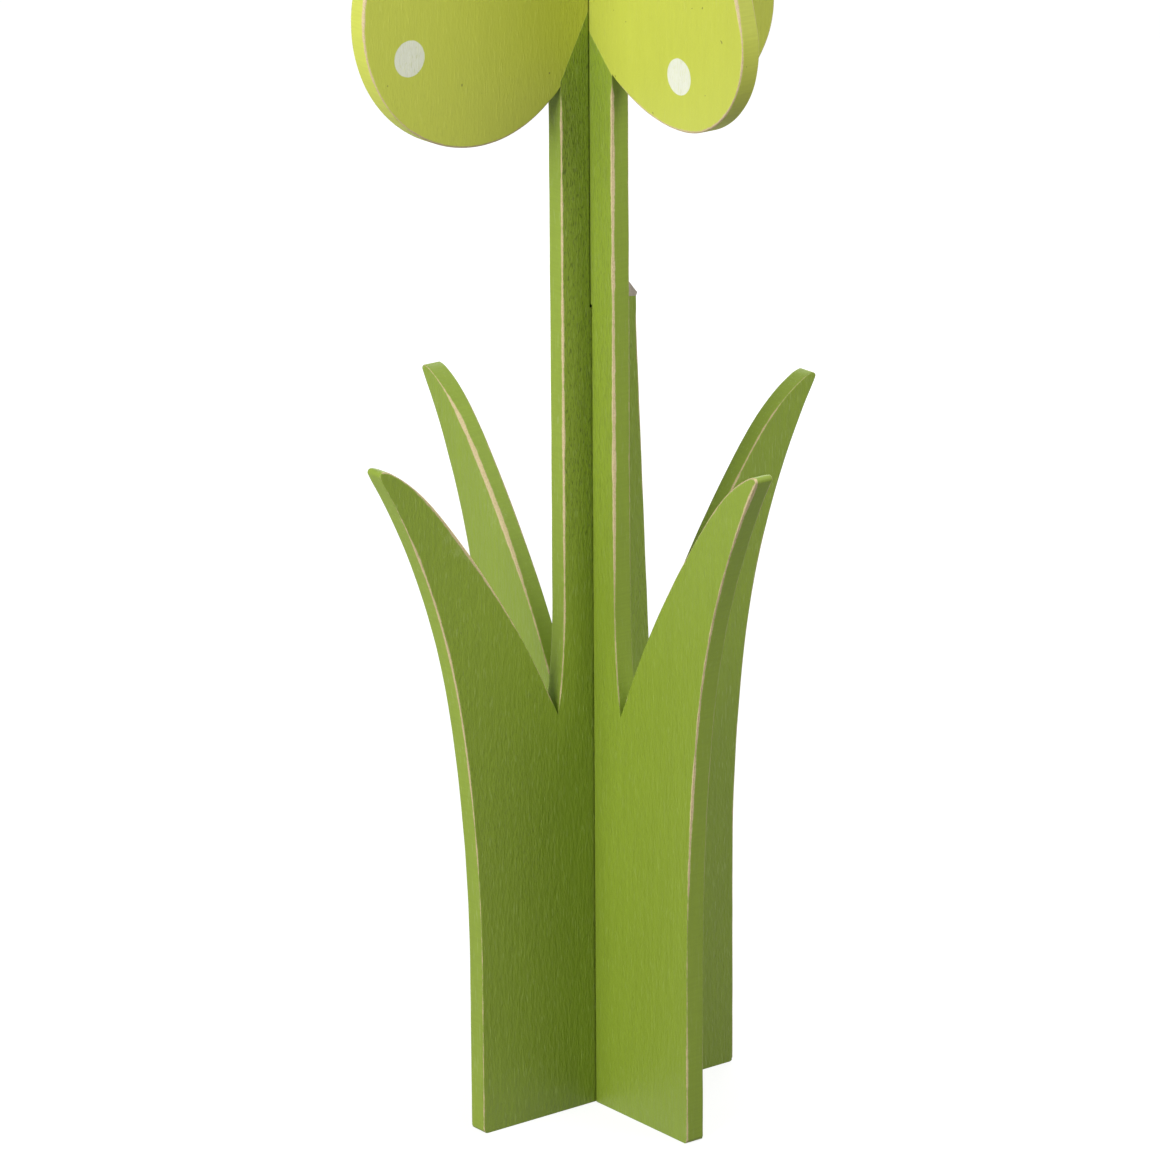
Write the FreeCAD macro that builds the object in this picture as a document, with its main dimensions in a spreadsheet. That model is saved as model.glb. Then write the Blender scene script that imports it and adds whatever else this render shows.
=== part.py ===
"""Wooden tulip ornament: two flat profiled boards that slot together crosswise and stand on four feet.

Millimetres, +Z up, origin on the floor where the two boards cross.
The first board runs along X with its front wing at -X, the second along Y with its front wing at -Y.
"""
import FreeCAD, Part
import math
import os
import re
import Sketcher

from FreeCAD import Vector

# Sizes that both boards share
SHARED = {
    "board_thickness": 12.0,
    "full_height": 955.0,
    "foot_corner_round": 3.0,
    "cut_overrun": 10.0,
    # Halving joint: each board is cut just past mid height, with play at the sides and at the end
    "joint_end_play": 1.8,
    "slot_front_gap": 0.8,
    "slot_back_gap": 0.3,
    # Leaf and stem
    "belly_height": 250.0,
    "notch_height": 241.5,
    "leaf_nose_round": 2.0,
    "leaf_inner_radius": 600.0,
    "flare_height": 68.0,
    "stem_half_width": 26.1,
    # Bloom, measured down from the top
    "petal_tip_drop": 62.0,
    "petal_valley_drop": 114.0,
    "petal_side_radius": 900.0,
    "petal_inner_radius": 260.0,
    "petal_centre_radius": 320.0,
    "petal_tip_round": 6.0,
    # Shoulder of the rear stem of the first board above the joint: a small lip, then a bevelled step in
    "shoulder_rise": 1.2,
    "shoulder_lip": 1.0,
    "shoulder_lip_height": 2.1,
    "shoulder_bevel": 8.1,
    "shoulder_depth": 5.6,
}

# Sizes that differ from wing to wing, because the boards were cut and sanded by hand
WINGS = {
    "front_left": {
        "foot_reach": 86.9, "waist_height": 95.0, "belly_swell": 12.0,
        "leaf_tip_overhang": 54.5, "leaf_tip_height": 407.5,
        "leaf_bend_inset": 41.4, "leaf_bend_drop": 32.5, "notch_flare": 5.0,
        "lobe_reach": 160.0, "lobe_radius": 78.0, "lobe_drop": 296.0, "lobe_join_rise": 25.5,
        "petal_tip_inset": 60.0, "petal_valley_inset": 53.0,
    },
    "back_right": {
        "foot_reach": 96.6, "waist_height": 125.0, "belly_swell": 8.0,
        "leaf_tip_overhang": 52.9, "leaf_tip_height": 410.0,
        "leaf_bend_inset": 44.5, "leaf_bend_drop": 34.0, "notch_flare": 10.0,
        "lobe_reach": 126.3, "lobe_radius": 54.0, "lobe_drop": 321.0, "lobe_join_rise": 22.0,
        "petal_tip_inset": 44.3, "petal_valley_inset": 41.0,
    },
    "front_right": {
        "foot_reach": 91.0, "waist_height": 95.0, "belly_swell": 9.3,
        "leaf_tip_overhang": 52.0, "leaf_tip_height": 410.3,
        "leaf_bend_inset": 40.3, "leaf_bend_drop": 30.6, "notch_flare": 5.0,
        "lobe_reach": 140.0, "lobe_radius": 53.0, "lobe_drop": 309.2, "lobe_join_rise": 21.2,
        "petal_tip_inset": 43.0, "petal_valley_inset": 50.0,
    },
    "back_left": {
        "foot_reach": 92.0, "waist_height": 95.0, "belly_swell": 8.6,
        "leaf_tip_overhang": 53.7, "leaf_tip_height": 408.5,
        "leaf_bend_inset": 42.3, "leaf_bend_drop": 31.5, "notch_flare": 5.0,
        "lobe_reach": 140.0, "lobe_radius": 53.0, "lobe_drop": 309.2, "lobe_join_rise": 21.2,
        "petal_tip_inset": 43.0, "petal_valley_inset": 50.0,
    },
}

TOUCH = 1e-4

# The joint's two ends, each half the end play away from mid height
TOP_SLOT_FLOOR = "full_height / 2 - joint_end_play / 2"
BOTTOM_SLOT_TOP = "full_height / 2 + joint_end_play / 2"


def fill_sheet(doc):
    """Write every driving size into the sheet, one row each."""
    rows = dict(SHARED)
    for wing, sizes in WINGS.items():
        for name, size in sizes.items():
            rows[f"{wing}_{name}"] = size
    sheet = doc.addObject("Spreadsheet::Sheet", "Sizes")
    for row, (name, size) in enumerate(rows.items(), start=1):
        sheet.set(f"A{row}", name)
        sheet.set(f"B{row}", str(size))
        sheet.setAlias(f"B{row}", name)
    doc.recompute()
    return sheet


def bound(formula):
    """The same formula as other objects write it, with each name looked up in the sheet."""
    return re.sub(r"[a-z]\w*", r"Sizes.\g<0>", formula)


def plane_of(body, role):
    """The origin plane of a body that plays the given role."""
    return next(plane for plane in body.Origin.OriginFeatures if plane.Role == role)


def step(start, goal, reach):
    """The point at a distance from the start on the way to the goal, or away from it if that is negative."""
    way = goal - start
    return start + way / way.Length * reach


def arc_centre(point, toward, target, reach=0.0):
    """Centre of the arc that leaves a point square to a unit direction and touches a circle about a target.

    The reach is the circle's radius, negative where the circle lies inside the arc and zero for a point.
    """
    away = point - target
    radius = (reach ** 2 - away.dot(away)) / (2 * (away.dot(toward) - reach))
    return point + toward * radius


def crossing(first, first_reach, second, second_reach, turn):
    """Where two circles cross: right of the way from the first centre to the second if turn is 1."""
    way = second - first
    forward = way / way.Length
    along = (way.Length ** 2 + first_reach ** 2 - second_reach ** 2) / (2 * way.Length)
    off = math.sqrt(first_reach ** 2 - along ** 2) * turn
    return first + forward * along + Vector(forward.y, -forward.x, 0) * off


class Outline:
    """A sketch outline in a body's upright plane, each point bound to cells of the sheet.

    Arcs are drawn where their constraints will hold them, so that the solver has nothing to move.
    """

    def __init__(self, body, role, name, sheet):
        self.sketch = body.newObject("Sketcher::SketchObject", name)
        self.sketch.AttachmentSupport = [(plane_of(body, role), "")]
        self.sketch.MapMode = "FlatFace"
        self.sheet = sheet

    def size(self, formula):
        return float(self.sheet.evalExpression(formula))

    def point(self, side, across, up):
        """A point at a distance across from the middle line, on one side, and a height."""
        return Vector(side * self.size(across), self.size(up), 0)

    def line(self, start, end):
        """A straight edge; returns its number with the positions of its start and end."""
        return self.sketch.addGeometry(Part.LineSegment(start, end)), 1, 2

    def arc(self, start, end, centre):
        """An arc about a centre, the short way round; returns its number with its start and end."""
        middle = step(centre, (start + end) / 2, (start - centre).Length)
        number = self.sketch.addGeometry(Part.Arc(start, middle, end))
        gap = self.sketch.getPoint(number, 1).distanceToPoint(start)
        return (number, 1, 2) if gap < (end - start).Length / 2 else (number, 2, 1)

    def bind(self, kind, *places, formula):
        """A measured constraint that follows a formula."""
        number = self.sketch.addConstraint(Sketcher.Constraint(kind, *places, self.size(formula)))
        self.sketch.renameConstraint(number, f"size_{number}")
        self.sketch.setExpression(f"Constraints.size_{number}", bound(formula))

    def fix(self, edge, position, side, across, up):
        """Hold one point of an edge at its distance across and its height."""
        ends = [(edge, position), (-1, 1)] if side < 0 else [(-1, 1), (edge, position)]
        self.bind("DistanceX", *ends[0], *ends[1], formula=across)
        self.bind("DistanceY", -1, 1, edge, position, formula=up)

    def rule(self, kind, *places):
        self.sketch.addConstraint(Sketcher.Constraint(kind, *places))

    def join(self, first, second, kind="Coincident"):
        """The end of one edge meets the start of the next, at a corner or in one smooth run."""
        self.rule(kind, first[0], first[2], second[0], second[1])


def draw_leaf(outline, wing, side):
    """The foot, the leaf's outer edge, its nose and its inner edge down to the notch."""
    foot = (f"{wing}_foot_reach", "0")
    waist = (f"{wing}_foot_reach", f"{wing}_waist_height")
    belly = (f"{wing}_foot_reach + {wing}_belly_swell", "belly_height")
    tip_reach = f"{belly[0]} + {wing}_leaf_tip_overhang"
    tip_height = f"{wing}_leaf_tip_height"
    nose = (f"{tip_reach} - leaf_nose_round", f"{tip_height} - leaf_nose_round")
    bend = (f"{tip_reach} - {wing}_leaf_bend_inset", f"{tip_height} - {wing}_leaf_bend_drop")
    notch = (f"stem_half_width + {wing}_notch_flare", "notch_height")

    def at(place):
        return outline.point(side, *place)

    nose_round = outline.size("leaf_nose_round")
    inner_round = outline.size("leaf_inner_radius")
    low_centre = arc_centre(at(waist), Vector(side, 0, 0), at(belly))
    high_centre = arc_centre(at(belly), step(Vector(), low_centre - at(belly), 1), at(nose), nose_round)
    bend_centre = crossing(at(bend), inner_round, at(notch), inner_round, -side)
    tip_centre = arc_centre(at(bend), step(Vector(), bend_centre - at(bend), 1), at(nose), -nose_round)
    outer_meet = step(at(nose), high_centre, nose_round)
    inner_meet = step(at(nose), tip_centre, -nose_round)

    heel = outline.line(at(foot), at(waist))
    low = outline.arc(at(waist), at(belly), low_centre)
    high = outline.arc(at(belly), outer_meet, high_centre)
    tip = outline.arc(outer_meet, inner_meet, at(nose))
    inner_high = outline.arc(inner_meet, at(bend), tip_centre)
    inner_low = outline.arc(at(bend), at(notch), bend_centre)

    outline.fix(heel[0], heel[2], side, *waist)
    outline.rule("Vertical", heel[0])
    outline.rule("PointOnObject", heel[0], heel[1], -1)
    for first, second in zip((heel, low, high, tip, inner_high), (low, high, tip, inner_high, inner_low)):
        outline.join(first, second, "Tangent")
    outline.fix(low[0], low[2], side, *belly)
    outline.fix(tip[0], 3, side, *nose)
    outline.bind("Radius", tip[0], formula="leaf_nose_round")
    outline.fix(inner_low[0], inner_low[1], side, *bend)
    outline.fix(inner_low[0], inner_low[2], side, *notch)
    outline.bind("Radius", inner_low[0], formula="leaf_inner_radius")
    return heel, inner_low


def join_height(wing):
    """Where a lobe meets the stem: a little above the lobe's lowest point."""
    return f"full_height - {wing}_lobe_drop - {wing}_lobe_radius + {wing}_lobe_join_rise"


def draw_plain_stem(outline, wing, side, last):
    """The stem's edge: flared above the notch, then straight up to the bloom."""
    notch = outline.point(side, f"stem_half_width + {wing}_notch_flare", "notch_height")
    flare_top = outline.point(side, "stem_half_width", "notch_height + flare_height")
    bloom = outline.point(side, "stem_half_width", join_height(wing))
    flare = outline.arc(notch, flare_top, arc_centre(flare_top, Vector(side, 0, 0), notch))
    straight = outline.line(flare_top, bloom)
    outline.join(last, flare)
    outline.join(flare, straight, "Tangent")
    outline.rule("Vertical", straight[0])
    outline.fix(straight[0], straight[1], side, "stem_half_width", "notch_height + flare_height")
    return straight


def draw_shouldered_stem(outline, wing, side, last):
    """The rear stem's edge: tapered up to a lip at the joint, then bevelled in to a narrower prong."""
    notch = outline.point(side, f"stem_half_width + {wing}_notch_flare", "notch_height")
    prong_reach = "stem_half_width - shoulder_depth"
    base = ("stem_half_width", f"{TOP_SLOT_FLOOR} + shoulder_rise")
    lip = ("stem_half_width + shoulder_lip", f"{base[1]} + shoulder_lip_height")
    step = (prong_reach, f"{lip[1]} + shoulder_bevel")
    taper = outline.line(notch, outline.point(side, *base))
    flare = outline.line(outline.point(side, *base), outline.point(side, *lip))
    bevel = outline.line(outline.point(side, *lip), outline.point(side, *step))
    prong = outline.line(outline.point(side, *step), outline.point(side, prong_reach, join_height(wing)))
    for first, second in zip((last, taper, flare, bevel), (taper, flare, bevel, prong)):
        outline.join(first, second)
    outline.rule("Vertical", prong[0])
    outline.fix(flare[0], flare[1], side, *base)
    outline.fix(bevel[0], bevel[1], side, *lip)
    outline.fix(bevel[0], bevel[2], side, *step)
    return prong


def crown_centre(outline):
    """The middle of the rounding at the very top, on the line where the boards cross."""
    return Vector(0, outline.size("full_height - petal_tip_round"), 0)


def draw_bloom(outline, wing, side, last):
    """Half of the bloom: the round lower lobe, the side petal's tip, the valley and the middle petal."""
    lobe = (f"{wing}_lobe_reach - {wing}_lobe_radius", f"full_height - {wing}_lobe_drop")
    lobe_low = (lobe[0], f"{lobe[1]} - {wing}_lobe_radius")
    tip_centre = (f"{wing}_lobe_reach - {wing}_petal_tip_inset",
                  "full_height - petal_tip_drop - petal_tip_round")
    valley = (f"{tip_centre[0]} - {wing}_petal_valley_inset", "full_height - petal_valley_drop")

    def at(place):
        return outline.point(side, *place)

    lobe_round = outline.size(f"{wing}_lobe_radius")
    tip_round = outline.size("petal_tip_round")
    side_round = outline.size("petal_side_radius")
    inner_round = outline.size("petal_inner_radius")
    middle_round = outline.size("petal_centre_radius")
    stem_end = outline.sketch.getPoint(last[0], last[2])
    under_centre = arc_centre(at(lobe_low), Vector(0, 1, 0), stem_end)
    side_centre = crossing(at(lobe), side_round + lobe_round, at(tip_centre), side_round + tip_round, side)
    inner_centre = crossing(at(tip_centre), inner_round - tip_round, at(valley), inner_round, -side)
    crown = crown_centre(outline)
    middle_centre = crossing(at(valley), middle_round, crown, middle_round - tip_round, -side)
    leave = step(at(lobe), side_centre, lobe_round)
    outer_meet = step(at(tip_centre), side_centre, tip_round)
    inner_meet = step(at(tip_centre), inner_centre, -tip_round)
    crown_meet = step(crown, middle_centre, -tip_round)

    under = outline.arc(stem_end, at(lobe_low), under_centre)
    round_side = outline.arc(at(lobe_low), leave, at(lobe))
    petal_side = outline.arc(leave, outer_meet, side_centre)
    petal_tip = outline.arc(outer_meet, inner_meet, at(tip_centre))
    petal_inner = outline.arc(inner_meet, at(valley), inner_centre)
    middle_side = outline.arc(at(valley), crown_meet, middle_centre)

    outline.join(last, under)
    outline.bind("DistanceY", -1, 1, last[0], last[2], formula=join_height(wing))
    outline.join(under, round_side, "Tangent")
    outline.fix(round_side[0], 3, side, *lobe)
    outline.fix(round_side[0], round_side[1], side, *lobe_low)
    outline.join(round_side, petal_side, "Tangent")
    outline.bind("Radius", petal_side[0], formula="petal_side_radius")
    outline.join(petal_side, petal_tip, "Tangent")
    outline.fix(petal_tip[0], 3, side, *tip_centre)
    outline.bind("Radius", petal_tip[0], formula="petal_tip_round")
    outline.join(petal_tip, petal_inner, "Tangent")
    outline.bind("Radius", petal_inner[0], formula="petal_inner_radius")
    outline.join(petal_inner, middle_side)
    outline.fix(middle_side[0], middle_side[1], side, *valley)
    outline.bind("Radius", middle_side[0], formula="petal_centre_radius")
    return middle_side


def draw_crown(outline, left_top, right_top):
    """The round point of the middle petal, on the line where the boards cross."""
    start = outline.sketch.getPoint(right_top[0], right_top[2])
    end = outline.sketch.getPoint(left_top[0], left_top[2])
    crown = outline.arc(start, end, crown_centre(outline))
    outline.join(right_top, crown, "Tangent")
    outline.rule("Tangent", crown[0], crown[2], left_top[0], left_top[2])
    outline.rule("PointOnObject", crown[0], 3, -2)
    outline.bind("DistanceY", -1, 1, crown[0], 3, formula="full_height - petal_tip_round")
    outline.bind("Radius", crown[0], formula="petal_tip_round")


def draw_profile(outline, left_wing, right_wing, right_stem):
    """The whole board: two wings that meet at the middle of the foot line and at the top of the bloom."""
    left_foot, left_leaf = draw_leaf(outline, left_wing, -1)
    right_foot, right_leaf = draw_leaf(outline, right_wing, 1)
    left_top = draw_bloom(outline, left_wing, -1, draw_plain_stem(outline, left_wing, -1, left_leaf))
    right_top = draw_bloom(outline, right_wing, 1, right_stem(outline, right_wing, 1, right_leaf))
    left_point = outline.sketch.getPoint(left_foot[0], left_foot[1])
    right_point = outline.sketch.getPoint(right_foot[0], right_foot[1])
    floor = outline.line(left_point, right_point)
    outline.rule("Coincident", floor[0], floor[1], left_foot[0], left_foot[1])
    outline.rule("Coincident", floor[0], floor[2], right_foot[0], right_foot[1])
    draw_crown(outline, left_top, right_top)


def draw_slot(outline, bottom, top):
    """The halving slot, a rectangle with its play on the front side."""
    left = "board_thickness / 2 + slot_front_gap"
    right = "board_thickness / 2 + slot_back_gap"
    corners = [outline.point(-1, left, bottom), outline.point(1, right, bottom),
               outline.point(1, right, top), outline.point(-1, left, top)]
    edges = [outline.line(a, b) for a, b in zip(corners, corners[1:] + corners[:1])]
    for first, second in zip(edges, edges[1:] + edges[:1]):
        outline.join(first, second)
    for edge, kind in zip(edges, ("Horizontal", "Vertical", "Horizontal", "Vertical")):
        outline.rule(kind, edge[0])
    outline.fix(edges[0][0], 1, -1, left, bottom)
    outline.fix(edges[2][0], 1, 1, right, top)


def pad_board(body, sketch):
    """Give the outline the board's thickness, half on each side of its plane."""
    pad = body.newObject("PartDesign::Pad", f"{body.Name}_pad")
    pad.Profile = sketch
    pad.SideType = "Symmetric"
    pad.setExpression("Length", "Sizes.board_thickness")


def cut_slot(body, sketch):
    """Cut the halving slot right through the board."""
    pocket = body.newObject("PartDesign::Pocket", f"{body.Name}_slot")
    pocket.Profile = sketch
    pocket.SideType = "Symmetric"
    pocket.setExpression("Length", "Sizes.board_thickness + Sizes.cut_overrun")


def is_foot_corner(edge, size):
    """True for an edge on the floor that runs from face to face outside the stem's width."""
    box = edge.BoundBox
    on_floor = max(abs(vertex.Z) for vertex in edge.Vertexes) < TOUCH
    across_board = abs(edge.Length - size("board_thickness")) < TOUCH
    return on_floor and across_board and max(abs(box.Center.x), abs(box.Center.y)) > size("stem_half_width")


def round_foot_corners(body, size):
    """Take the sharpness off the two corners that stand on the floor."""
    base = body.Tip
    corners = [f"Edge{number}" for number, edge in enumerate(base.Shape.Edges, start=1)
               if is_foot_corner(edge, size)]
    fillet = body.newObject("PartDesign::Fillet", f"{body.Name}_feet")
    fillet.Base = (base, corners)
    fillet.setExpression("Radius", "Sizes.foot_corner_round")


def make_board(doc, sheet, name, role, wings, right_stem, slot_span):
    """One whole board: its outline at full thickness, its slot and its rounded foot corners."""
    body = doc.addObject("PartDesign::Body", name)
    body.Label = name
    profile = Outline(body, role, f"{name}_outline", sheet)
    draw_profile(profile, *wings, right_stem)
    pad_board(body, profile.sketch)
    slot = Outline(body, role, f"{name}_slot_outline", sheet)
    draw_slot(slot, *slot_span)
    cut_slot(body, slot.sketch)
    doc.recompute()
    round_foot_corners(body, profile.size)
    doc.recompute()
    return body


def check(doc, boards):
    """Stop if any object failed or any board has no sound solid."""
    failed = [item.Name for item in doc.Objects if "Invalid" in item.State or "Error" in item.State]
    unsound = [body.Label for body in boards if body.Shape.isNull() or not body.Shape.isValid()]
    if failed or unsound:
        raise RuntimeError(f"failed objects {failed}, unsound boards {unsound}")


def main():
    doc = FreeCAD.newDocument("wooden_tulip")
    sheet = fill_sheet(doc)
    boards = [
        make_board(doc, sheet, "top_slot_board", "XZ_Plane", ("front_left", "back_right"),
                   draw_shouldered_stem, (TOP_SLOT_FLOOR, "full_height + cut_overrun")),
        make_board(doc, sheet, "bottom_slot_board", "YZ_Plane", ("front_right", "back_left"),
                   draw_plain_stem, ("0 - cut_overrun", BOTTOM_SLOT_TOP)),
    ]
    check(doc, boards)
    os.makedirs("parts", exist_ok=True)
    for body in boards:
        body.Shape.exportStep(f"parts/{body.Label}.step")
        print(body.Label, "volume", round(body.Shape.Volume), "box", body.Shape.BoundBox)


main()
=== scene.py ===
# Looks of the slotted wooden tulip: two painted boards with hand-sanded rims on a pale studio floor.
# Lengths are metres in the frame unless a name ends in _MM or a comment says otherwise.
import math

import bpy
from mathutils import Matrix, Vector, geometry, noise


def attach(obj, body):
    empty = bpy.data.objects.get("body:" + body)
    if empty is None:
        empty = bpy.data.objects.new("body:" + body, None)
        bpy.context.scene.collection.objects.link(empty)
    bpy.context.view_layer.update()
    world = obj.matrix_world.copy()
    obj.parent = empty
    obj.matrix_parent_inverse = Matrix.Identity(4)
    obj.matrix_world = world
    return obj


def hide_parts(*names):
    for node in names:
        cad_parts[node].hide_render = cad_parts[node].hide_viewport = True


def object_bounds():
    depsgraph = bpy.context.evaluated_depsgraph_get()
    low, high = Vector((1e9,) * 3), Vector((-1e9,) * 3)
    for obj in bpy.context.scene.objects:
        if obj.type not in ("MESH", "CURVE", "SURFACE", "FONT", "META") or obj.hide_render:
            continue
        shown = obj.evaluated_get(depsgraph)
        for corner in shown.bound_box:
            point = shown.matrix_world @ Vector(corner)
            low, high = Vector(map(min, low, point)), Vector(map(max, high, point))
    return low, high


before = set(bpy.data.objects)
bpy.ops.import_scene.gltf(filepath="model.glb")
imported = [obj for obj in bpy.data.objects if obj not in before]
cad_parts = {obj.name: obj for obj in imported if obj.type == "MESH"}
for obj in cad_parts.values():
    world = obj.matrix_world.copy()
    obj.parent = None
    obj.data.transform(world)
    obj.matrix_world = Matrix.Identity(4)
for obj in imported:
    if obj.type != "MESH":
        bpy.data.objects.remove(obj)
cad_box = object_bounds()

MM = 0.001

# Each board: its piece here, the body it rides on, the axis it runs along and the seed of its patterns.
# A wing's stem is green out to "stem" mm and below the line "paint_top - paint_slope * reach".
# Wear of a wing's rims, from 0 to a little over 1: on the bloom, on the stem, on the leaf's outer edge
# below its top and at the top, on the leaf's inner edge and on its nose.
# Dots are centres (across, height) in mm; all but the lowest front one of each board are guesses.
# Grain is how strongly pores and brush marks show; the last value lightens the bloom's paint, painted
# light that stands in for light falling short on that board's bloom.
BOARDS = {
    "top_slot_board": {
        "piece": "painted_top_slot_board", "body": "standing_board", "along": 0, "seed": 3.7,
        "front": {"stem": 26.4, "paint_top": 658.9, "paint_slope": 1.90,
                  "wear": {"bloom": 0.62, "stem": 0.60, "outer": 0.44, "top": 0.30,
                           "inner": 1.0, "nose": 0.80}},
        "back": {"stem": 20.8, "paint_top": 640.0, "paint_slope": 1.25,
                 "wear": {"bloom": 0.42, "stem": 0.45, "outer": 0.58, "top": 0.30,
                          "inner": 0.62, "nose": 0.30}},
        "dots": [(-129.3, 637.3), (-84, 724), (-116, 760), (-62, 806), (-95, 858), (-23, 877),
                 (97, 633), (60, 706), (85, 756), (50, 810), (74, 858), (22, 866)],
        "bare_shoulder": True, "grain": 1.0, "bloom_painted_light": 0.07,
    },
    "bottom_slot_board": {
        "piece": "painted_bottom_slot_board", "body": "lifting_board", "along": 1, "seed": 41.3,
        "front": {"stem": 26.4, "paint_top": 640.5, "paint_slope": 1.06,
                  "wear": {"bloom": 0.72, "stem": 0.98, "outer": 0.50, "top": 0.84,
                           "inner": 0.46, "nose": 0.46}},
        "back": {"stem": 26.4, "paint_top": 640.5, "paint_slope": 1.06,
                 "wear": {"bloom": 0.42, "stem": 0.60, "outer": 0.60, "top": 0.25,
                          "inner": 1.0, "nose": 0.25}},
        "dots": [(-85.3, 623.3), (-104, 704), (-56, 742), (-92, 806), (-26, 868), (-88, 866),
                 (85.3, 640), (104, 716), (56, 748), (92, 806), (26, 868), (84, 862)],
        "bare_shoulder": False, "grain": 0.5, "bloom_painted_light": 0.0,
    },
}

# How the solid's outline is read and made finer
FACE_PLAY = 0.01 * MM
KEY_DIGITS = 6
CORNER_TURN = math.radians(25)
SMOOTH_TURN = math.radians(8)
ROUND_CHORD = 6 * MM
STRAIGHT_LENGTH = 60 * MM
STEP = 2.5 * MM
SHARP_ANGLE = math.radians(30)

# Rims: how far the sandpaper rounded them, and how that fades towards inner corners
RIM_LEAST = 0.1 * MM
FLOOR_RIM_SHARE = 0.25
RIM_BASE = 0.45 * MM
RIM_WORN = 1.15 * MM
RIM_FADE = 14 * MM
RIM_MARGIN = 0.9 * MM
RIM_ANGLES = (90, 67.5, 45, 22.5, 0)
# The "rim" attribute runs from -1 to 1 over the rounding, and lies beyond it on the face and the edge
RIM_ON_FACE = -2.0
RIM_ON_EDGE = 2.0
# The rims on the far side of each board show less bare wood
FAR_WEAR = 0.55
# Heights between which a leaf's upper edge lies, and the reach at which the stem's foot ends
LEAF_LOW = 260 * MM
LEAF_TOP = 560 * MM
LEAF_STEM = 40 * MM
# The upper edge of each leaf is a little fuller near the tip than the solid's
LEAF_SWELL = 1.1 * MM
LEAF_SWELL_RISE = 8 * MM
LEAF_SWELL_HOLD = 10 * MM
LEAF_SWELL_END = 46 * MM
# A slot lies within this reach of the middle; its walls face sideways and keep the least rim
SLOT_REACH = 7.6 * MM
WALL_FACING = 0.9
# At sharp corners the inset of a rim is stretched no more than this allows
MITER_LEAST = 0.5
# At a tight round tip the rim takes no more than a share of the tip's own radius
TIGHT_RADIUS = 12 * MM
TIP_SHARE = 0.7
TIP_GAIN = 0.5
# A spike is a corner that turns by more than this; its rim narrows towards the point
SPIKE_TURN = math.radians(120)
SPIKE_LEAST = 0.2 * MM
SPIKE_GAIN = 0.16
# The cap's triangulation takes points nearer than this as one
CAP_EPSILON = 1e-7

# Wear along the rims: reaches and heights that part bloom, stem and leaf, and heights between which the
# wear of a stretch fades in, with the share of it that is there below them
LOBE_REACH = 26.2 * MM
STEM_REACH = 36.5 * MM
STEM_FOOT = 245 * MM
STEM_FADE = (300 * MM, 420 * MM)
STEM_SHARE = 0.5
FLOOR_WEAR = 0.30
OUTER_FADE = (20 * MM, 200 * MM)
OUTER_SHARE = 0.7
TOP_FADE = (370 * MM, 402 * MM)
INNER_FADE = (280 * MM, 335 * MM)
INNER_SHARE = 0.35
NOSE_FADE = (380 * MM, 406 * MM)
# A leaf's rim that faces this far from the stem is all outer edge
OUTER_FACING = 0.6
WEAR_RANGE = (0.05, 1.3)
# Noise in the wear and in the rim's radius: waves per metre across and up, offset and how much it adds
WEAR_BROAD = (14, 9, 0, 0.5)
WEAR_CLOSE = (70, 55, 9, 0.2)
RIM_RIPPLE = (60, 60, 5, 0.12 * MM)


def cad_outline(node, along):
    """The board's outline as points (across, height), counter-clockwise, with its half thickness."""
    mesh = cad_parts[node].data
    through = 1 - along
    half = max(vertex.co[through] for vertex in mesh.vertices)
    border = {}
    for polygon in mesh.polygons:
        corners = [mesh.vertices[index].co for index in polygon.vertices]
        if all(abs(corner[through] + half) < FACE_PLAY for corner in corners):
            keys = [(round(corner[along], KEY_DIGITS), round(corner.z, KEY_DIGITS)) for corner in corners]
            for pair in zip(keys, keys[1:] + keys[:1]):
                border[pair] = True
    following = {start: end for start, end in border if (end, start) not in border}
    loop = [min(following)]
    while following[loop[-1]] != loop[0]:
        loop.append(following[loop[-1]])
    points = [Vector(point) for point in loop]
    area = sum(a.x * b.y - b.x * a.y for a, b in zip(points, points[1:] + points[:1]))
    return (points if area > 0 else points[::-1]), half


def heading_of(way):
    """The angle in which a 2D vector points."""
    return math.atan2(way.y, way.x)


def turn_between(first, second):
    """The signed turn from one heading to another."""
    return (second - first + math.pi) % (2 * math.pi) - math.pi


def refine(points):
    """The outline in short steps that follow its arcs, and the turn at each point that is a corner."""
    count = len(points)
    chords = [points[(i + 1) % count] - points[i] for i in range(count)]
    heading = [heading_of(chord) for chord in chords]
    turn = [turn_between(heading[i - 1], heading[i]) for i in range(count)]
    corner = [abs(turn[i]) > CORNER_TURN
              and (turn[i] < 0 or max(chords[i - 1].length, chords[i].length) > ROUND_CHORD)
              for i in range(count)]
    straight = [chords[i].length > STRAIGHT_LENGTH or (corner[i] and corner[(i + 1) % count])
                for i in range(count)]

    def tangent(i):
        if straight[i - 1]:
            return heading[i - 1]
        if straight[i]:
            return heading[i]
        before, after = chords[i - 1].length, chords[i].length
        return heading[i - 1] + turn[i] * before / (before + after)

    fine, turns = [], []
    for i in range(count):
        j = (i + 1) % count
        start = end = heading[i]
        if not straight[i]:
            start = None if corner[i] else tangent(i)
            end = None if corner[j] else tangent(j)
            start = start if start is not None else heading[i] - turn_between(heading[i], end)
            end = end if end is not None else heading[i] - turn_between(heading[i], start)
        length = chords[i].length
        leave = Vector((math.cos(start), math.sin(start))) * length
        arrive = Vector((math.cos(end), math.sin(end))) * length
        bend = abs(turn_between(start, heading[i])) + abs(turn_between(heading[i], end))
        steps = max(1, math.ceil(length / STEP), math.ceil(bend / SMOOTH_TURN))
        for step in range(steps):
            t = step / steps
            fine.append(points[i] * (2 * t ** 3 - 3 * t ** 2 + 1) + leave * (t ** 3 - 2 * t ** 2 + t)
                        + points[j] * (3 * t ** 2 - 2 * t ** 3) + arrive * (t ** 3 - t ** 2))
            turns.append(turn[i] if corner[i] and step == 0 else 0.0)
    return fine, turns


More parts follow.
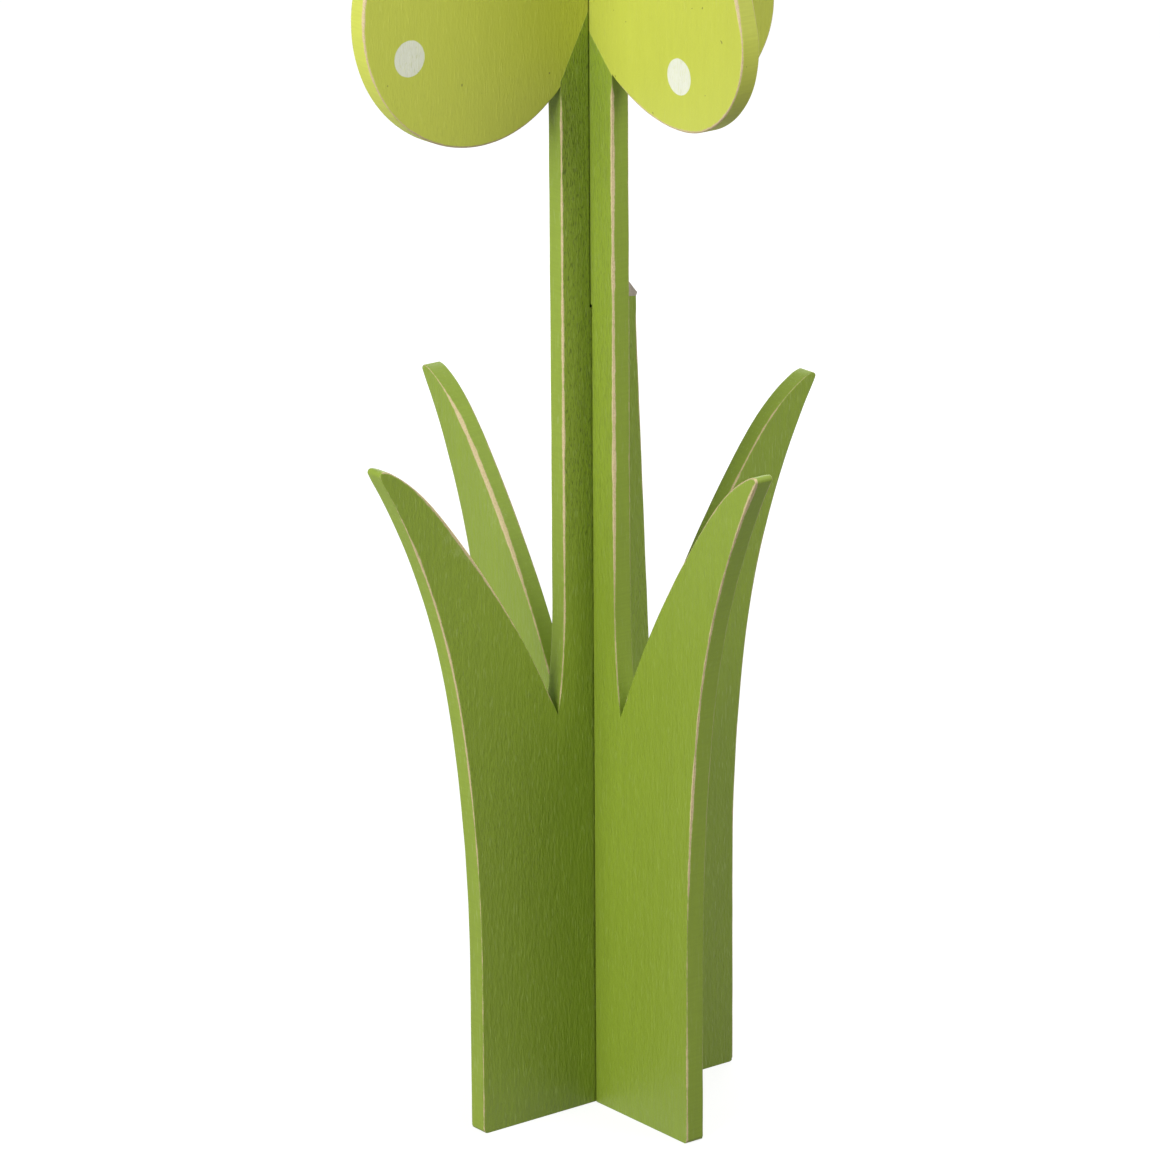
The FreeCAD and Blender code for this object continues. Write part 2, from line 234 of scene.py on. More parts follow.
def fade(value, low, high):
    """0 at low, 1 at high, smooth between."""
    t = min(1.0, max(0.0, (value - low) / (high - low)))
    return t * t * (3 - 2 * t)


def swell_leaves(fine):
    """The outline with the upper edge of both leaves pushed out a little near the tip."""
    count = len(fine)
    tip = {side: max(side * point.x for point in fine if point.y < LEAF_TOP) for side in (-1, 1)}
    swollen = []
    for i in range(count):
        point = fine[i]
        way = (fine[(i + 1) % count] - fine[i - 1]).normalized()
        outward = Vector((way.y, -way.x))
        inset = tip[1 if point.x > 0 else -1] - abs(point.x)
        upper = LEAF_LOW < point.y < LEAF_TOP and outward.y > 0 and abs(point.x) > LEAF_STEM
        share = fade(inset, 0, LEAF_SWELL_RISE) * (1 - fade(inset, LEAF_SWELL_HOLD, LEAF_SWELL_END))
        swollen.append(point + outward * (LEAF_SWELL * share if upper else 0.0))
    return swollen


def wavering(point, seed, waves_across, waves_up, offset, gain):
    """Noise along the outline."""
    return gain * noise.noise(Vector((point.x * waves_across, point.y * waves_up, seed + offset)))


def leaf_wear(height, away, wear):
    """The wear of a leaf's rim at a height; away is how far the rim faces from the stem."""
    outer = wear["outer"] * (OUTER_SHARE + (1 - OUTER_SHARE) * fade(height, *OUTER_FADE))
    outer += (wear["top"] - outer) * fade(height, *TOP_FADE)
    inner = wear["inner"] * (INNER_SHARE + (1 - INNER_SHARE) * fade(height, *INNER_FADE))
    inner += (wear["nose"] - inner) * fade(height, *NOSE_FADE)
    return inner + (outer - inner) * fade(away, 0.0, OUTER_FACING)


def wear_at(point, outward, spec):
    """How worn the rim is at a point of the outline, from 0 to a little over 1."""
    reach, height = abs(point.x), point.y
    wear = spec["back" if point.x > 0 else "front"]["wear"]
    if height > LEAF_TOP and reach > LOBE_REACH:
        amount = wear["bloom"]
    elif reach < STEM_REACH and height > STEM_FOOT:
        amount = wear["stem"] * (STEM_SHARE + (1 - STEM_SHARE) * fade(height, *STEM_FADE))
    elif height < MM:
        amount = FLOOR_WEAR
    else:
        amount = leaf_wear(height, outward.x if point.x > 0 else -outward.x, wear)
    amount += wavering(point, spec["seed"], *WEAR_BROAD) + wavering(point, spec["seed"], *WEAR_CLOSE)
    return min(WEAR_RANGE[1], max(WEAR_RANGE[0], amount))


def narrow_places(fine, turns, travelled):
    """Tight tips and spikes: the way travelled to each, the rim's limit there and how fast that grows."""
    count = len(fine)
    places = []
    for i in range(count):
        before, after = fine[i] - fine[i - 1], fine[(i + 1) % count] - fine[i]
        bend = turn_between(heading_of(before), heading_of(after))
        length = (before.length + after.length) / 2
        if not turns[i] and bend > length / TIGHT_RADIUS:
            places.append((travelled[i], TIP_SHARE * length / bend, TIP_GAIN))
        elif turns[i] > SPIKE_TURN:
            places.append((travelled[i], SPIKE_LEAST, SPIKE_GAIN))
    return places


def rim_sizes(fine, turns, spec):
    """For each outline point: the way outward, longer at miters, and the rim's radius, margin and wear."""
    count = len(fine)
    travelled = [0.0]
    for a, b in zip(fine, fine[1:] + fine[:1]):
        travelled.append(travelled[-1] + (b - a).length)
    total = travelled.pop()
    tight = [travelled[i] for i in range(count)
             if turns[i] and (turns[i] < 0 or abs(fine[i].x) < SLOT_REACH)]
    narrow = narrow_places(fine, turns, travelled)
    rows = []
    for i in range(count):
        before = (fine[i] - fine[i - 1]).normalized()
        after = (fine[(i + 1) % count] - fine[i]).normalized()
        first, second = Vector((before.y, -before.x)), Vector((after.y, -after.x))
        outward = (first + second).normalized()
        stretch = 1 / max(MITER_LEAST, outward.dot(first))
        gaps = [abs(travelled[i] - place) for place in tight]
        nearest = min(min(gap, total - gap) for gap in gaps)
        room = fade(nearest, 0, RIM_FADE)
        if abs(fine[i].x) < SLOT_REACH and fine[i].y > MM and abs(outward.x) > WALL_FACING:
            room = 0.0
        if fine[i].y < MM:
            room *= FLOOR_RIM_SHARE
        wear = room * wear_at(fine[i], outward, spec)
        ripple = wavering(fine[i], spec["seed"], *RIM_RIPPLE)
        radius = RIM_LEAST + room * (RIM_BASE - RIM_LEAST + RIM_WORN * min(wear, 1.0) + ripple)
        limit = RIM_BASE + RIM_WORN + RIM_MARGIN
        for place, least, gain in narrow:
            gap = abs(travelled[i] - place)
            limit = min(limit, least + gain * min(gap, total - gap))
        radius = max(RIM_LEAST, min(radius, TIP_SHARE * limit))
        rows.append((outward * stretch, radius, min(RIM_MARGIN, limit - radius), wear))
    return rows


def cap(places, along):
    """Triangles that fill one ring of the board, counter-clockwise as its outline is."""
    flat = [Vector((place[along], place[2])) for place in places]
    made = geometry.delaunay_2d_cdt(flat, [], [list(range(len(flat)))], 1, CAP_EPSILON)
    origins = [sources[0] for sources in made[3]]
    return [tuple(origins[i] for i in corners) for corners in made[2]]


def ring(fine, sizes, half, along, side, kind):
    """One ring of vertices, as place, rim and wear; kind is an angle over the rim, "face" or "edge"."""
    made = []
    for point, (outward, radius, margin, wear) in zip(fine, sizes):
        if kind == "face":
            inset, depth, rim = radius + margin, half, RIM_ON_FACE
        elif kind == "edge":
            inset, depth, rim = 0.0, half - radius - RIM_MARGIN, RIM_ON_EDGE
        else:
            angle = math.radians(kind)
            inset, depth = radius * (1 - math.cos(angle)), half - radius * (1 - math.sin(angle))
            rim = 1 - 2 * kind / RIM_ANGLES[0]
        across, height = point - outward * inset
        place = [0.0, 0.0, height]
        place[along], place[1 - along] = across, side * depth
        made.append((place, rim, wear * (FAR_WEAR if side > 0 else 1.0)))
    return made


def skin(rings, along):
    """The faces of a board: bands of four-sided faces between its rings and a cap on each flat side."""
    count = len(rings[0])
    faces = []
    for level in range(len(rings) - 1):
        low, high = level * count, (level + 1) * count
        for i in range(count):
            j = (i + 1) % count
            faces.append((low + i, low + j, high + j, high + i))
    first, last = ([row[0] for row in rings[end]] for end in (0, -1))
    faces.extend(corners[::-1] for corners in cap(first, along))
    start = (len(rings) - 1) * count
    faces.extend(tuple(start + i for i in corners) for corners in cap(last, along))
    return [face[::-1] for face in faces] if along == 0 else faces


def build_board(node, spec):
    """A closed mesh of the board: flat faces, rounded rims, square edges and its wear as attributes."""
    along = spec["along"]
    points, half = cad_outline(node, along)
    fine, turns = refine(points)
    fine = swell_leaves(fine)
    sizes = rim_sizes(fine, turns, spec)
    kinds = ["face", *RIM_ANGLES, "edge"]
    rings = [ring(fine, sizes, half, along, -1, kind) for kind in kinds]
    rings += [ring(fine, sizes, half, along, 1, kind) for kind in reversed(kinds)]
    rows = [row for made in rings for row in made]
    faces = skin(rings, along)
    mesh = bpy.data.meshes.new(spec["piece"])
    mesh.from_pydata([row[0] for row in rows], [], faces)
    for index, name in enumerate(("rim", "wear"), start=1):
        attribute = mesh.attributes.new(name, "FLOAT", "POINT")
        attribute.data.foreach_set("value", [row[index] for row in rows])
    mesh.shade_smooth()
    mesh.set_sharp_from_angle(angle=SHARP_ANGLE)
    mesh.update()
    obj = bpy.data.objects.new(spec["piece"], mesh)
    bpy.context.scene.collection.objects.link(obj)
    obj.data.materials.append(painted_wood(spec))
    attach(obj, spec["body"])
    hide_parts(node)


def linear(red, green, blue):
    """An RGBA colour from sRGB values of 0 to 255."""
    def one(value):
        value /= 255
        return value / 12.92 if value <= 0.04045 else ((value + 0.055) / 1.055) ** 2.4
    return (one(red), one(green), one(blue), 1.0)


GREEN = linear(144, 167, 51)
GREEN_PALE = linear(182, 200, 120)
LIME = linear(199, 206, 82)
LIME_PALE = linear(222, 228, 128)
WHITE_DOT = linear(236, 238, 226)
WOOD = linear(230, 211, 164)
WOOD_DARK = linear(208, 184, 138)
WOOD_EDGE = linear(196, 168, 114)
BARE_GREY = linear(204, 192, 180)
BARE_GREY_DARK = linear(184, 171, 158)
SPECK = linear(96, 88, 50)
SHEEN = 0.44
BUMP_STRENGTH = 0.8

# Noise patterns: waves per millimetre across, through and up the board, offset, detail and roughness
PATTERNS = {
    "streaks": (0.33, 0.33, 0.03, 1.3, 3.0, 0.5),
    "cloud": (0.02, 0.02, 0.008, 7.1, 2.0, 0.5),
    "pores": (1.5, 1.5, 0.26, 12.9, 1.0, 0.5),
    "dashes": (0.9, 0.9, 0.11, 23.3, 1.0, 0.5),
    "saw_marks": (0.95, 0.05, 0.95, 31.7, 1.0, 0.5),
    "grit": (1.6, 1.6, 1.6, 37.9, 2.0, 0.5),
    "wander": (0.30, 0.22, 0.22, 47.9, 3.0, 0.6),
    "specks": (0.30, 0.30, 0.30, 57.1, 0.0, 0.5),
    "brushed": (0.50, 0.50, 0.15, 67.3, 4.0, 0.62),
}
# Values of a pattern between which its marks fade in
PORES_SHOW = (0.56, 0.66)
DASHES_SHOW = (0.60, 0.72)
SPECKS_SHOW = (0.855, 0.875)
PATCHES_SHOW = (0.46, 0.64)
WOOD_GRIT = (0.35, 0.75)
GREY_GRIT = (0.3, 0.7)
# Shares by which marks show
PATCH_SHARE = 0.5
SPECK_SHARE = 0.6
# The pale dashes are thinner paint with a painted glint on them
DASH_PALENESS_AND_GLINT = 0.28
EDGE_PALENESS = 0.04
BLOOM_HIDES_PORES = 0.75
BLOOM_HIDES_BRUSH = 0.55
DOT_COVER = 0.97
DOT_PORE_LOSS = 0.18
# How much each kind of mark lightens or darkens the paint, roughens it and raises it in millimetres; under
# the lobes the darkening is painted shade
TONE = {"streaks": 0.16, "cloud": 0.14, "pores": -0.42, "dashes": 0.10, "saw_marks": 0.20,
        "painted_shade_under_lobe": -0.22}
ROUGHNESS = {"paint": 0.38, "streaks": 0.10, "edge": 0.18, "worn": 0.25}
RELIEF = {"streaks": 0.22, "brushed": 0.85, "pores": -0.16, "dashes": 0.10, "saw_marks": 0.10,
          "worn": -0.06}

# Where the paint changes: how soft and wavy its borders are, and heights between which marks and the
# painted shade under the lobes fade in
EDGE_BLUR = 0.4
STEM_BLUR_MM = 0.1
BORDER_BLUR_MM = 0.35
BORDER_WOBBLE_MM = 0.8
DOT_RADIUS_MM = 10.15
DOT_BLUR_MM = 0.25
DOT_WOBBLE_MM = 0.25
BLOOM_FLOOR_MM = 560.0
# Painted shade: over these heights the stem's edges are painted darker up to the lobes' undersides, where
# the lobes shade them
LOBE_PAINTED_SHADE_MM = (578.0, 604.0)
STEM_PORES_MM = (280.0, 380.0)

# Worn rims, in units of the "rim" attribute: half their width for a wear of 1, how ragged they are, and
# depths between which bare wood, thin paint and the brown line between them fade in
WORN_PER_WEAR = 1.35
WORN_OFFSET = -0.05
RAGGED_BROAD = 1.5
RAGGED_FINE = 0.8
WORN_SHOWS = (-0.06, 0.10)
THIN_PAINT_SHOWS = (-0.7, -0.1)
THIN_PAINT_SHARE = 0.4
LINE_BEGINS = (-0.16, 0.0)
LINE_ENDS = (0.24, 0.06)
LINE_SHARE = 0.32

# The bare shoulder lies just above the height at which the two slots meet, half way up the object
SLOTS_MEET_MM = cad_box[1][2] / MM / 2
SHOULDER_LOW_MM = SLOTS_MEET_MM + 4.1
SHOULDER_SLOPE = 0.14
SHOULDER_BLUR_MM = 0.2
SHOULDER_TOP_MM = (SLOTS_MEET_MM + 13.5, SLOTS_MEET_MM + 12.5)
SHOULDER_SIDE_MM = (14.0, 15.0)
SHOULDER_WOBBLE_MM = 3.0


class Nodes:
    """A material's node tree, with short ways to add the nodes used here."""

    def __init__(self, name):
        self.material = bpy.data.materials.new(name)
        self.material.use_nodes = True
        self.tree = self.material.node_tree
        self.tree.nodes.clear()

    def add(self, kind, sockets=None, **settings):
        node = self.tree.nodes.new(kind)
        for name, value in settings.items():
            setattr(node, name, value)
        for key, value in (sockets or {}).items():
            if isinstance(value, bpy.types.NodeSocket):
                self.tree.links.new(value, node.inputs[key])
            else:
                node.inputs[key].default_value = value
        return node

    def calc(self, operation, *values):
        node = self.add("ShaderNodeMath", dict(enumerate(values)), operation=operation)
        return node.outputs[0]

    def ramp(self, value, low, high):
        """0 at low and 1 at high, smooth between; low may be the larger."""
        node = self.add("ShaderNodeMapRange", {"Value": value, "From Min": low, "From Max": high},
                        interpolation_type="SMOOTHSTEP")
        return node.outputs["Result"]

    def mix(self, factor, first, second):
        node = self.add("ShaderNodeMix", {"Factor": factor, 6: first, 7: second}, data_type="RGBA")
        return node.outputs[2]

    def brighten(self, colour, factor):
        """The colour times a number."""
        node = self.add("ShaderNodeVectorMath", {0: colour, "Scale": factor}, operation="SCALE")
        return node.outputs[0]

    def noise(self, vector, detail, roughness):
        node = self.add("ShaderNodeTexNoise", {"Vector": vector, "Scale": 1.0, "Detail": detail,
                                               "Roughness": roughness})
        return node.outputs["Fac"]


class BoardPaint(Nodes):
    """The node tree of one board, with its coordinates in millimetres and its noise patterns."""

    def __init__(self, spec):
        super().__init__(spec["piece"])
        self.along, self.seed = spec["along"], spec["seed"]
        inputs = {0: self.add("ShaderNodeTexCoord").outputs["Object"], 1: (1 / MM,) * 3}
        self.place = self.add("ShaderNodeVectorMath", inputs, operation="MULTIPLY").outputs[0]
        axes = self.add("ShaderNodeSeparateXYZ", {0: self.place}).outputs
        self.across, self.height = axes[self.along], axes[2]
        self.reach = self.calc("ABSOLUTE", self.across)
        self.is_back = self.calc("GREATER_THAN", self.across, 0.0)
        self.rim = self.add("ShaderNodeAttribute", attribute_name="rim").outputs["Fac"]
        self.wear = self.add("ShaderNodeAttribute", attribute_name="wear").outputs["Fac"]
        self.on_edge = self.ramp(self.rim, -EDGE_BLUR, EDGE_BLUR)
        self.on_face = self.calc("SUBTRACT", 1.0, self.on_edge)
        self.patterns = {name: self.pattern(*row) for name, row in PATTERNS.items()}
        self.pores = self.ramp(self.patterns["pores"], *PORES_SHOW)
        self.dashes = self.ramp(self.patterns["dashes"], *DASHES_SHOW)

    def pattern(self, per_across, per_through, per_height, offset, detail, roughness):
        """Noise with the given number of waves per millimetre in each direction."""
        scale = [0.0, 0.0, per_height]
        scale[self.along], scale[1 - self.along] = per_across, per_through
        inputs = {0: self.place, 1: tuple(scale), 2: (self.seed, offset, self.seed + offset)}
        moved = self.add("ShaderNodeVectorMath", inputs, operation="MULTIPLY_ADD")
        return self.noise(moved.outputs[0], detail, roughness)

    def by_wing(self, spec, key):
        """A value of the front wing on the front half of the board, and the back wing's behind."""
        front, back = spec["front"][key], spec["back"][key]
        return self.calc("MULTIPLY_ADD", self.is_back, back - front, front)

    def centred(self, name):
        """A pattern with its middle moved from a half to zero."""
        return self.calc("SUBTRACT", self.patterns[name], 0.5)

    def times(self, *values):
        """The product of two or more values."""
        product = values[0]
        for value in values[1:]:
            product = self.calc("MULTIPLY", product, value)
        return product

    def plus(self, total, value, gain):
        """The total and a share of a value."""
        return self.calc("MULTIPLY_ADD", value, gain, total)


def lime_area(n, spec, outside_stem):
    """1 where the bloom's lime paint lies: above a sloping line on the stem, and all over the lobes."""
    fall = n.times(n.reach, n.by_wing(spec, "paint_slope"))
    line = n.calc("SUBTRACT", n.by_wing(spec, "paint_top"), fall)
    wobble = n.calc("MULTIPLY_ADD", n.patterns["wander"], 2 * BORDER_WOBBLE_MM, -BORDER_WOBBLE_MM)
    above = n.calc("SUBTRACT", n.calc("ADD", n.height, wobble), line)
    above_line = n.ramp(above, -BORDER_BLUR_MM, BORDER_BLUR_MM)
    in_bloom = n.calc("GREATER_THAN", n.height, BLOOM_FLOOR_MM)
    return n.times(in_bloom, n.calc("MAXIMUM", above_line, outside_stem))


def dot_area(n, spec):
    """1 in the dots of pale paint, on both flat faces."""
    nearest = None
    for dot_across, dot_height in spec["dots"]:
        aside = n.calc("SUBTRACT", n.across, dot_across)
        above = n.calc("SUBTRACT", n.height, dot_height)
        squared = n.calc("MULTIPLY_ADD", aside, aside, n.times(above, above))
        nearest = squared if nearest is None else n.calc("MINIMUM", nearest, squared)
    radius = n.calc("MULTIPLY_ADD", n.patterns["wander"], 2 * DOT_WOBBLE_MM, DOT_RADIUS_MM - DOT_WOBBLE_MM)
    inside = n.calc("SUBTRACT", radius, n.calc("SQRT", nearest))
    return n.times(n.ramp(inside, -DOT_BLUR_MM, DOT_BLUR_MM), n.on_face)


def filled_pores(n, lime, outside_stem):
    """1 in the dark pores: all over the stem's faces, in patches below it, and faint on the bloom."""
    on_stem = n.times(n.ramp(n.height, *STEM_PORES_MM), n.calc("SUBTRACT", 1.0, outside_stem))
    patches = n.times(n.ramp(n.patterns["cloud"], *PATCHES_SHOW), PATCH_SHARE)
    where = n.times(n.calc("MAXIMUM", patches, on_stem), n.on_face)
    return n.times(n.pores, where, n.calc("MULTIPLY_ADD", lime, -BLOOM_HIDES_PORES, 1.0))


def paint_tone(n, spec, lime, outside_stem, dark_marks, mildness):
    """How light the paint is at each spot, around 1, with painted shade under the lobes, a painted glint
    in the pale dashes and painted light on one board's bloom.
    """
    grain = spec["grain"]
    on_stem_edge = n.times(n.on_edge, n.calc("SUBTRACT", 1.0, outside_stem))
    # Painted shade: the stem's edges darken just under the lobes, where the lobes' overhang shades them
    painted_shade_under_lobe = n.times(n.ramp(n.height, *LOBE_PAINTED_SHADE_MM), on_stem_edge)
    tone = n.plus(1.0, n.times(n.centred("streaks"), mildness), TONE["streaks"])
    tone = n.plus(tone, n.centred("cloud"), TONE["cloud"])
    tone = n.plus(tone, dark_marks, TONE["pores"] * grain * grain)
    # The pale dashes lighten the paint: thinner paint with a painted glint
    tone = n.plus(tone, n.times(n.dashes, n.on_face, mildness), TONE["dashes"] * grain)
    # Painted light: one board's bloom is lightened in place of the light it lacks
    tone = n.plus(tone, lime, spec["bloom_painted_light"])
    tone = n.plus(tone, n.times(n.centred("saw_marks"), n.on_edge), TONE["saw_marks"])
    return n.plus(tone, painted_shade_under_lobe, TONE["painted_shade_under_lobe"])


def bare_wood_depth(n):
    """How far a spot of a rim lies inside the stretch that is worn to the wood; below 0 it is painted."""
    worn_width = n.calc("MULTIPLY_ADD", n.wear, WORN_PER_WEAR, WORN_OFFSET)
    ragged = n.plus(n.times(n.centred("wander"), RAGGED_BROAD), n.centred("grit"), RAGGED_FINE)
    return n.calc("ADD", n.calc("SUBTRACT", worn_width, n.calc("ABSOLUTE", n.rim)), ragged)


def bare_shoulder(n):
    """1 on the unpainted grey shoulder beside the slot, behind the stem."""
    low = n.calc("MULTIPLY_ADD", n.across, -SHOULDER_SLOPE, SHOULDER_LOW_MM)
    above = n.ramp(n.calc("SUBTRACT", n.height, low), -SHOULDER_BLUR_MM, SHOULDER_BLUR_MM)
    below = n.ramp(n.height, *SHOULDER_TOP_MM)
    aside = n.ramp(n.plus(n.across, n.patterns["wander"], SHOULDER_WOBBLE_MM), *SHOULDER_SIDE_MM)
    return n.times(above, below, aside)


def paint_relief(n, dark_marks, mildness, worn):
    """The height of the surface's marks in millimetres."""
    brushed = n.plus(n.times(n.patterns["streaks"], RELIEF["streaks"]),
                     n.times(n.patterns["brushed"], n.on_face), RELIEF["brushed"])
    relief = n.times(brushed, mildness)
    relief = n.plus(relief, dark_marks, RELIEF["pores"])
    relief = n.plus(relief, n.times(n.dashes, n.on_face), RELIEF["dashes"])
    relief = n.plus(relief, n.times(n.patterns["saw_marks"], n.on_edge), RELIEF["saw_marks"])
    return n.plus(relief, worn, RELIEF["worn"])


def painted_wood(spec):
    """Satin paint over wood: green stem and leaves, lime bloom with pale dots, rims sanded to the wood."""
    n = BoardPaint(spec)
    beyond = n.calc("SUBTRACT", n.reach, n.by_wing(spec, "stem"))
    outside_stem = n.ramp(beyond, -STEM_BLUR_MM, STEM_BLUR_MM)
    lime = lime_area(n, spec, outside_stem)
    mildness = n.calc("MULTIPLY_ADD", lime, -BLOOM_HIDES_BRUSH, 1.0)
    dark_marks = filled_pores(n, lime, outside_stem)

    dot_cover = n.calc("MULTIPLY_ADD", n.pores, -DOT_PORE_LOSS, DOT_COVER)
    paint = n.mix(lime, GREEN, LIME)
    paint = n.mix(n.times(dot_area(n, spec), dot_cover), paint, WHITE_DOT)
    paint = n.brighten(paint, paint_tone(n, spec, lime, outside_stem, dark_marks, mildness))
    pale = n.mix(lime, GREEN_PALE, LIME_PALE)
    # Pale dashes: thinner paint with a painted glint
    paint = n.mix(n.times(n.dashes, mildness, DASH_PALENESS_AND_GLINT * spec["grain"]), paint, pale)
    paint = n.mix(n.times(n.on_edge, EDGE_PALENESS), paint, pale)
    specks = n.ramp(n.patterns["specks"], *SPECKS_SHOW)
    paint = n.mix(n.times(specks, lime, SPECK_SHARE), paint, SPECK)

    # Rims sanded through to the wood: thin paint beside it, then a thin brown line, then the wood
    depth = bare_wood_depth(n)
    worn = n.ramp(depth, *WORN_SHOWS)
    paint = n.mix(n.times(n.ramp(depth, *THIN_PAINT_SHOWS), THIN_PAINT_SHARE), paint, pale)
    line = n.times(n.ramp(depth, *LINE_BEGINS), n.ramp(depth, *LINE_ENDS), LINE_SHARE)
    wood = n.mix(n.ramp(n.patterns["grit"], *WOOD_GRIT), WOOD, WOOD_DARK)
    colour = n.mix(worn, paint, n.mix(line, wood, WOOD_EDGE))
    if spec["bare_shoulder"]:
        bare = bare_shoulder(n)
        grey = n.mix(n.ramp(n.patterns["grit"], *GREY_GRIT), BARE_GREY, BARE_GREY_DARK)
        colour = n.mix(bare, colour, grey)
        worn = n.calc("MAXIMUM", worn, bare)

    roughness = n.plus(ROUGHNESS["paint"], n.patterns["streaks"], ROUGHNESS["streaks"])
    roughness = n.plus(roughness, n.on_edge, ROUGHNESS["edge"])
    roughness = n.plus(roughness, worn, ROUGHNESS["worn"])
    relief = paint_relief(n, dark_marks, mildness, worn)
    bump = n.add("ShaderNodeBump", {"Strength": BUMP_STRENGTH, "Distance": MM, "Height": relief})
    inputs = {"Base Color": colour, "Roughness": roughness, "Specular IOR Level": SHEEN,
              "Normal": bump.outputs[0]}
    n.add("ShaderNodeOutputMaterial", {"Surface": n.add("ShaderNodeBsdfPrincipled", inputs).outputs[0]})
    return n.material


# Studio
FLOOR_RADIUS = 14.0
FLOOR_SIDES = 96
FLOOR_COLOUR = (0.25, 0.25, 0.25, 1.0)
# The floor's own glow near the object and far from it, where less of the lamps' light arrives
FLOOR_LIFT = {"near": 0.86, "far": 0.98, "near_radius": 0.3, "far_radius": 2.0}
SKY_LIGHT = 0.13

# Lamps: where each stands, how wide it is and the share of full white it gives a surface that faces it
LIT_HEIGHT = 0.45
LAMPS = {
    "key": {"place": (-2.0, -0.30, 1.25), "width": 1.6, "level": 0.95},
    "fill": {"place": (0.66, -1.06, 1.6), "width": 1.0, "level": 0.525},
    "back": {"place": (1.6, 1.3, 1.3), "width": 1.6, "level": 0.50},
}


def build_floor():
    """A wide pale disc that keeps the object's shadow and meets the white background."""
    rim = [(FLOOR_RADIUS * math.cos(2 * math.pi * i / FLOOR_SIDES),
            FLOOR_RADIUS * math.sin(2 * math.pi * i / FLOOR_SIDES), 0.0) for i in range(FLOOR_SIDES)]
    mesh = bpy.data.meshes.new("studio_floor")
    mesh.from_pydata(rim, [], [tuple(range(FLOOR_SIDES))])
    floor = bpy.data.objects.new("studio_floor", mesh)
    bpy.context.scene.collection.objects.link(floor)
    n = Nodes("studio_floor")
    rays = n.add("ShaderNodeLightPath").outputs
    seen = n.calc("MAXIMUM", rays["Is Camera Ray"],
                  n.calc("MAXIMUM", rays["Is Glossy Ray"], rays["Is Transmission Ray"]))
    matt = n.add("ShaderNodeBsdfDiffuse", {"Color": FLOOR_COLOUR})
    spot = n.add("ShaderNodeVectorMath", {0: n.add("ShaderNodeTexCoord").outputs["Object"]},
                 operation="LENGTH").outputs["Value"]
    away = n.ramp(spot, FLOOR_LIFT["near_radius"], FLOOR_LIFT["far_radius"])
    lift = n.calc("MULTIPLY_ADD", away, FLOOR_LIFT["far"] - FLOOR_LIFT["near"], FLOOR_LIFT["near"])
    glow = n.add("ShaderNodeEmission", {"Strength": n.calc("MULTIPLY", seen, lift)})
    both = n.add("ShaderNodeAddShader", {0: matt.outputs[0], 1: glow.outputs[0]})
    n.add("ShaderNodeOutputMaterial", {"Surface": both.outputs[0]})
    mesh.materials.append(n.material)


def build_world():
    """White wherever it is seen or mirrored, and a plain soft light elsewhere."""
    world = bpy.data.worlds.new("studio")
    bpy.context.scene.world = world
    world.use_nodes = True
    tree = world.node_tree
    tree.nodes.clear()
    rays = tree.nodes.new("ShaderNodeLightPath").outputs
    seen = rays["Is Camera Ray"]
    for name in ("Is Glossy Ray", "Is Transmission Ray"):
        larger = tree.nodes.new("ShaderNodeMath")
        larger.operation = "MAXIMUM"
        tree.links.new(seen, larger.inputs[0])
        tree.links.new(rays[name], larger.inputs[1])
        seen = larger.outputs[0]
    strength = tree.nodes.new("ShaderNodeMapRange")
    strength.inputs["To Min"].default_value = SKY_LIGHT
    tree.links.new(seen, strength.inputs["Value"])
    background = tree.nodes.new("ShaderNodeBackground")
    background.inputs["Color"].default_value = (1.0, 1.0, 1.0, 1.0)
    tree.links.new(strength.outputs["Result"], background.inputs["Strength"])
    output = tree.nodes.new("ShaderNodeOutputWorld")
    tree.links.new(background.outputs[0], output.inputs["Surface"])


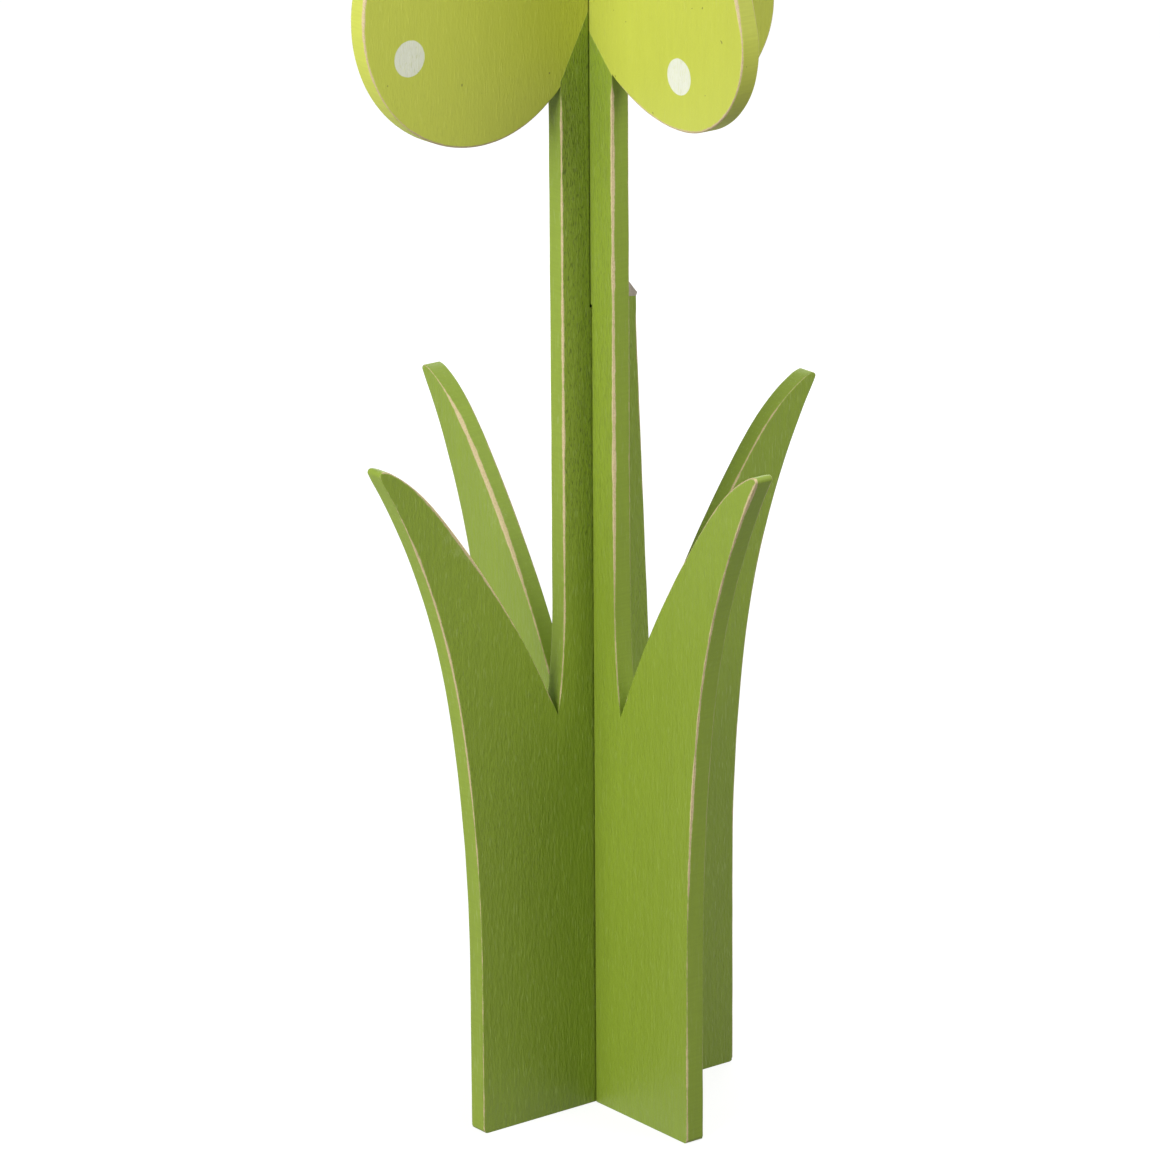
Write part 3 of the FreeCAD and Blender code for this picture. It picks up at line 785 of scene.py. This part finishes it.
def build_lights():
    """A broad soft lamp high on the left and weaker ones on the right and behind, aimed at the stem."""
    for name, spec in LAMPS.items():
        way = Vector((0, 0, LIT_HEIGHT)) - Vector(spec["place"])
        light = bpy.data.lights.new(name, "AREA")
        light.shape = "DISK"
        light.size = spec["width"]
        light.energy = spec["level"] * math.pi ** 2 * way.length_squared
        lamp = bpy.data.objects.new(name, light)
        lamp.location = spec["place"]
        lamp.rotation_mode = "QUATERNION"
        lamp.rotation_quaternion = way.to_track_quat("-Z", "Y")
        bpy.context.scene.collection.objects.link(lamp)


# Camera fitted to the photograph: 1160 pixels wide, middle of the picture on the axis, no shift
PICTURE_PIXELS = 1160
FOCAL_PIXELS = 6925.3
SENSOR = 36.0
CAMERA_AZIMUTH = math.radians(37.685)
CAMERA_ELEVATION = math.radians(17.550)
CAMERA_ROLL = math.radians(-0.369)
CAMERA_DISTANCE = 3.9267
TARGET_ASIDE = -8.18 * MM
TARGET_HEIGHT = 314.29 * MM
CLIP = (0.1, 100.0)


def build_camera():
    """The camera at the photograph's viewing angle."""
    sin_a, cos_a = math.sin(CAMERA_AZIMUTH), math.cos(CAMERA_AZIMUTH)
    sin_e, cos_e = math.sin(CAMERA_ELEVATION), math.cos(CAMERA_ELEVATION)
    back = Vector((-sin_a * cos_e, -cos_a * cos_e, sin_e))
    level = Vector((cos_a, -sin_a, 0.0))
    upright = back.cross(level)
    sin_r, cos_r = math.sin(CAMERA_ROLL), math.cos(CAMERA_ROLL)
    right = level * cos_r + upright * sin_r
    up = upright * cos_r - level * sin_r
    data = bpy.data.cameras.new("photo_camera")
    data.sensor_width = SENSOR
    data.lens = FOCAL_PIXELS * SENSOR / PICTURE_PIXELS
    data.clip_start, data.clip_end = CLIP
    camera = bpy.data.objects.new("photo_camera", data)
    place = level * TARGET_ASIDE + Vector((0, 0, TARGET_HEIGHT)) + back * CAMERA_DISTANCE
    turned = Matrix((right, up, back)).transposed().to_4x4()
    camera.matrix_world = Matrix.Translation(place) @ turned
    bpy.context.scene.collection.objects.link(camera)
    bpy.context.scene.camera = camera


for node, spec in BOARDS.items():
    build_board(node, spec)
build_floor()
build_world()
build_lights()
build_camera()
bpy.context.scene.view_settings.view_transform = "Standard"
